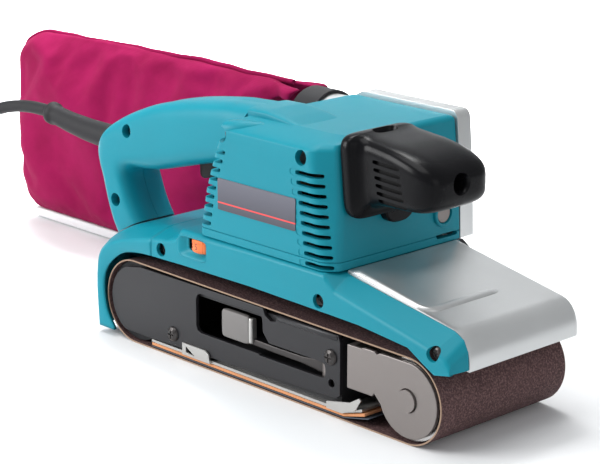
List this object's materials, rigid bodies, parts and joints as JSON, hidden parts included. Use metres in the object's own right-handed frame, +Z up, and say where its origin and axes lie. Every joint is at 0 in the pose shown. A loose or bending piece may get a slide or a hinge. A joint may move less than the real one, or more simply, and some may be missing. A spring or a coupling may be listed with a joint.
{
  "type": "belt sander",
  "caption": "Handheld electric belt sander with D handle, front grip, tension lever, dust spout and cloth dust bag.",
  "frame": {"origin": "centre of the flat underside of the abrasive belt, where it meets the work", "axes": "+X from the cord end to the nose, +Y to the side with the dust bag, +Z up, away from the work"},
  "size_m": [0.5553, 0.2817, 0.1576],
  "materials": {
    "teal": "moulded nylon, fine satin texture",
    "silver": "die casting with silver paint, fine sparkle",
    "black": "black moulding, satin to gloss",
    "frame": "black painted die casting",
    "plate": "pressed steel, dark grey paint",
    "steel": "zinc plated pressed steel",
    "roller": "turned aluminium",
    "abrasive": "aluminium oxide grit on cloth",
    "cork": "pressed cork",
    "graphite": "graphite coated cloth",
    "rubber": "matt black rubber",
    "copper": "sintered bronze and copper",
    "orange": "orange moulding",
    "label": "printed grey label, left blank",
    "cloth": "woven burgundy cloth",
    "white": "extruded white plastic"
  },
  "bodies": {
    "body": {"abrasive_belt": "abrasive", "graphite_sheet": "graphite", "cork_pad": "cork", "sole_plate": "steel", "side_plate": "plate", "side_screw_rear": "steel", "side_screw_front": "steel", "main_frame": "frame", "base_housing": "teal", "rear_cover": "teal", "front_cover": "silver", "motor_housing": "teal", "gear_case": "silver", "belt_cover": "silver", "dust_spout": "silver", "stator_core": "steel", "motor_bearing_near": "steel", "motor_bearing_far": "steel", "brush_front": "graphite", "brush_rear": "graphite", "shaft_bush": "copper", "roller_bearing": "steel", "timing_belt": "rubber", "tension_spring": "steel", "lever_pin": "steel", "switch_block": "black", "handle_right": "teal", "handle_left": "teal", "front_grip": "black", "grip_screw": "steel", "name_plate": "label", "nose_screw": "steel", "cord_guard": "rubber", "power_cord": "rubber", "cord_coil": "rubber", "mains_plug": "rubber"},
    "armature": {"motor_shaft": "steel", "armature_core": "steel", "commutator": "copper", "cooling_fan": "black"},
    "layshaft": {"reduction_gear": "steel", "layshaft": "steel", "drive_pulley": "steel"},
    "drive_roller": {"drive_roller": "rubber", "roller_shaft": "steel", "driven_pulley": "steel"},
    "roller_carriage": {"tension_rod": "steel", "roller_yoke": "steel", "roller_pin": "steel"},
    "front_roller": {"front_roller": "roller"},
    "tension_lever": {"tension_lever": "steel"},
    "tracking_knob": {"tracking_knob": "black"},
    "speed_dial": {"speed_dial": "orange"},
    "trigger": {"trigger": "black"},
    "lock_button": {"lock_button": "black"},
    "dust_bag": {"dust_bag": "cloth", "bag_collar": "rubber"},
    "bag_rail": {"bag_rail": "white"}
  },
  "joints": [
    {"name": "motor_spin", "type": "hinge", "parent": "body", "child": "armature", "pos_m": [0.005, 0, 0.115], "axis": [0, 1, 0], "continuous": true},
    {"name": "layshaft_spin", "type": "hinge", "parent": "body", "child": "layshaft", "pos_m": [-0.002, 0, 0.08583], "axis": [0, 1, 0], "continuous": true},
    {"name": "drive_roller_spin", "type": "hinge", "parent": "body", "child": "drive_roller", "pos_m": [-0.1135, 0, 0.026], "axis": [0, 1, 0], "continuous": true},
    {"name": "front_roller_spin", "type": "hinge", "parent": "roller_carriage", "child": "front_roller", "pos_m": [0.1135, 0, 0.0245], "axis": [0, 1, 0], "continuous": true},
    {"name": "lever_swing", "type": "hinge", "parent": "body", "child": "tension_lever", "pos_m": [0.048, -0.043, 0.025], "axis": [0, 0, 1], "range_deg": [0, 60]},
    {"name": "carriage_slide", "type": "slide", "parent": "body", "child": "roller_carriage", "axis": [-1, 0, 0], "range_m": [0, 0.0043], "deforming": ["tension_spring"]},
    {"name": "tracking_turn", "type": "hinge", "parent": "body", "child": "tracking_knob", "pos_m": [0.052, 0.06, 0.028], "axis": [0, 1, 0], "range_deg": [-360, 360]},
    {"name": "dial_turn", "type": "hinge", "parent": "body", "child": "speed_dial", "pos_m": [-0.051, -0.0452, 0.074], "axis": [0, 0, 1], "range_deg": [-200, 50]},
    {"name": "trigger_squeeze", "type": "hinge", "parent": "body", "child": "trigger", "pos_m": [-0.061, -0.017, 0.119], "axis": [0, 1, 0], "range_deg": [0, 8], "stiffness_Nm_per_rad": 0.6, "springref_deg": -5.73},
    {"name": "lock_press", "type": "slide", "parent": "body", "child": "lock_button", "axis": [0, -1, 0], "range_m": [0, 0.003], "stiffness_N_per_m": 300, "springref_m": -0.003},
    {"name": "bag_pull", "type": "slide", "parent": "body", "child": "dust_bag", "axis": [-1, 0, 0], "range_m": [0, 0.03]},
    {"name": "rail_pull", "type": "slide", "parent": "dust_bag", "child": "bag_rail", "axis": [-1, 0, 0], "range_m": [0, 0.2]}
  ],
  "couplings": [
    {"joint": "layshaft_spin", "follows": "motor_spin", "ratio": -0.33333},
    {"joint": "drive_roller_spin", "follows": "motor_spin", "ratio": -0.16667},
    {"joint": "front_roller_spin", "follows": "motor_spin", "ratio": -0.1774},
    {"joint": "carriage_slide", "follows": "lever_swing", "m_per_rad": 0.0040107}
  ]
}
